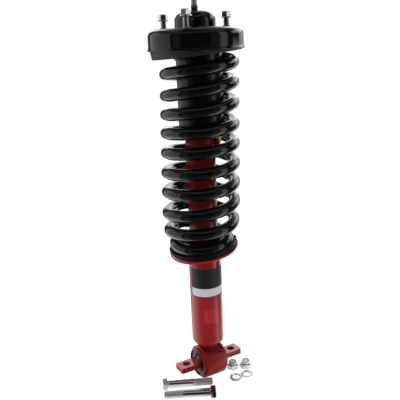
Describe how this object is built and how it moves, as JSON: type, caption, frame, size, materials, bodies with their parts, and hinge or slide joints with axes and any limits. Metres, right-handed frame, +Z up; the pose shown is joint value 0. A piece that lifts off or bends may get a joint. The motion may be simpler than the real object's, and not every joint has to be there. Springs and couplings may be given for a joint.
{
  "type": "strut assembly",
  "caption": "Loaded suspension strut: coil spring on a gas strut, studded upper mount, rubber bushed bar pin below, fixings beside it.",
  "frame": {"origin": "centre of the lower eye and of the bar pin's two holes", "axes": "+Z up the strut, +X along the bar pin"},
  "size_m": [0.1692, 0.1424, 0.595],
  "materials": {
    "red_paint": "smooth red enamel",
    "red_bracket": "red enamel over forged and welded steel",
    "rubber": "matt moulded rubber",
    "isolator_rubber": "smooth moulded rubber",
    "seal_rubber": "nitrile rubber",
    "plain_steel": "turned steel",
    "spring_paint": "glossy black powder coat",
    "cast_alloy": "as cast",
    "bronze_bush": "sintered bronze",
    "chromed_rod": "hard chrome, browned thread",
    "sintered_iron": "sintered iron",
    "white_band": "filled fluoropolymer",
    "yellow_urethane": "microcellular urethane",
    "cover_plastic": "satin black moulding",
    "black_steel": "black electrocoat",
    "zinc_stud": "zinc plated, threaded",
    "zinc_plate": "bright zinc plate",
    "zinc_bolt": "bright zinc plate"
  },
  "bodies": {
    "bar": {"bar_pin": "red_bracket", "bushing_rubber": "rubber", "mounting_bolts": "zinc_bolt", "lock_nuts": "zinc_plate", "spring_washers": "zinc_plate"},
    "strut_body": {"bushing_shell": "plain_steel", "eye_ring": "red_bracket", "base_cap": "red_paint", "body_sleeve": "red_paint", "strut_tube": "red_paint", "lower_spring_seat": "red_paint", "lower_spring_isolator": "rubber", "coil_spring": "spring_paint", "rod_guide": "cast_alloy", "guide_bush": "bronze_bush", "rod_seal": "seal_rubber", "end_disc": "plain_steel"},
    "gas_piston": {"floating_piston": "cast_alloy", "floating_piston_ring": "seal_rubber"},
    "rod_and_mount": {"piston_rod": "chromed_rod", "piston": "sintered_iron", "piston_band": "white_band", "rebound_shims": "plain_steel", "compression_shims": "plain_steel", "piston_nut": "plain_steel", "rebound_clip": "plain_steel", "rebound_ring": "rubber", "bump_stop": "yellow_urethane", "dust_cover": "cover_plastic", "upper_spring_isolator": "isolator_rubber", "mount_cup": "black_steel", "mount_cap": "black_steel", "mount_rubber": "rubber", "mount_sleeve": "plain_steel", "lower_washer": "plain_steel", "upper_washer": "plain_steel", "rod_nut": "zinc_plate", "mount_studs": "zinc_stud", "flange_nuts": "zinc_plate"}
  },
  "joints": [
    {"name": "eye_twist", "type": "hinge", "parent": "bar", "child": "strut_body", "pos_m": [0, 0, 0], "axis": [1, 0, 0], "range_deg": [-8, 8], "stiffness_Nm_per_rad": 90},
    {"name": "strut_travel", "type": "slide", "parent": "strut_body", "child": "rod_and_mount", "axis": [0, 0, -1], "range_m": [0, 0.085], "stiffness_N_per_m": 116000, "springref_m": -0.0005, "deforming": ["coil_spring"]},
    {"name": "gas_piston_travel", "type": "slide", "parent": "strut_body", "child": "gas_piston", "axis": [0, 0, -1], "range_m": [0, 0.01]}
  ],
  "couplings": [
    {"joint": "gas_piston_travel", "follows": "strut_travel", "ratio": 0.1166}
  ]
}
